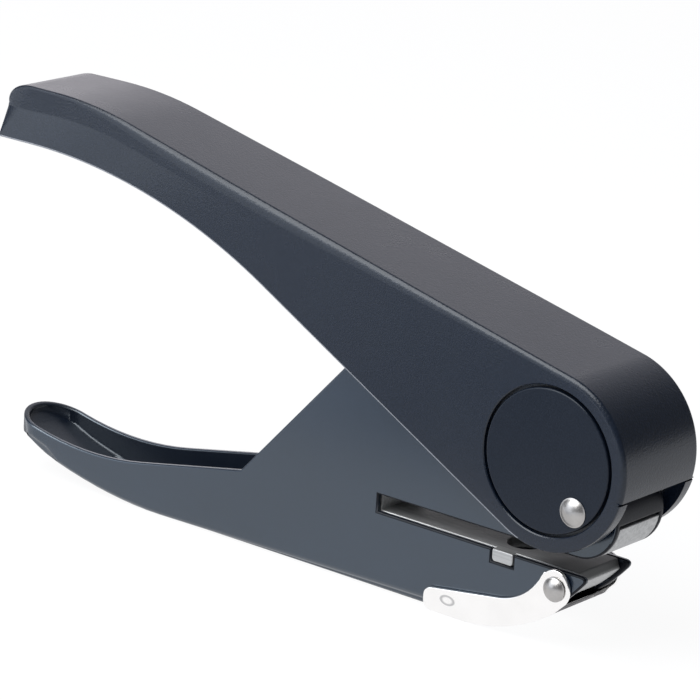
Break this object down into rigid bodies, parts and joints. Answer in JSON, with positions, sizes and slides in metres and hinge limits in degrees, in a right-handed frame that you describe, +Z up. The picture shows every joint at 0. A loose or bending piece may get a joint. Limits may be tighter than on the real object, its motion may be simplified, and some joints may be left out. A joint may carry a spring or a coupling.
{
  "type": "single hole punch",
  "caption": "Hand-squeezed paper punch: moulded handle cover on a steel lever, painted channel frame with a paper slot, sprung round punch and a hinged chip flap.",
  "frame": {"origin": "centre of the bounding box's bottom face, on the level that the chip flap rests on", "axes": "+X from the tail to the jaw, along the longest extent; +Y across the tool; +Z up"},
  "size_m": [0.1302, 0.0226, 0.0683],
  "materials": {
    "cover": "fine moulded grain, satin",
    "frame_paint": "smooth slate grey stove enamel",
    "bare_steel": "zinc-dull sheet steel with drawn grain",
    "bright_plate": "bright nickel plate",
    "tool_steel": "ground and oiled"
  },
  "bodies": {
    "frame": {"frame_body": "frame_paint", "throat_bracket": "bare_steel", "pivot_bush": "bare_steel", "stop_pin": "bare_steel", "spring_washer": "bare_steel", "flap_rivet_left": "bright_plate", "flap_rivet_right": "bright_plate"},
    "handle": {"handle_cover": "cover", "handle_lever": "bare_steel", "pivot_disc_left": "cover", "pivot_disc_right": "cover", "pivot_rivet": "bright_plate", "pivot_washer_left": "bare_steel", "pivot_washer_right": "bare_steel", "press_pin": "bare_steel", "lever_pin": "bare_steel"},
    "punch": {"punch_pin": "tool_steel", "spring_clip": "tool_steel", "return_spring": "tool_steel"},
    "flap": {"chip_flap": "bright_plate"}
  },
  "joints": [
    {"name": "handle_hinge", "type": "hinge", "parent": "frame", "child": "handle", "pos_m": [0.0563, 0, 0.02445], "axis": [0, -1, 0], "range_deg": [0, 18], "stiffness_Nm_per_rad": 0.6, "springref_deg": -13.18},
    {"name": "punch_slide", "type": "slide", "parent": "frame", "child": "punch", "axis": [0, 0, -1], "range_m": [0, 0.0046], "deforming": ["return_spring"]},
    {"name": "flap_hinge", "type": "hinge", "parent": "frame", "child": "flap", "pos_m": [0.0521, 0, 0.01015], "axis": [0, -1, 0], "range_deg": [0, 60]}
  ],
  "couplings": [
    {"joint": "punch_slide", "follows": "handle_hinge", "m_per_rad": 0.01463}
  ]
}
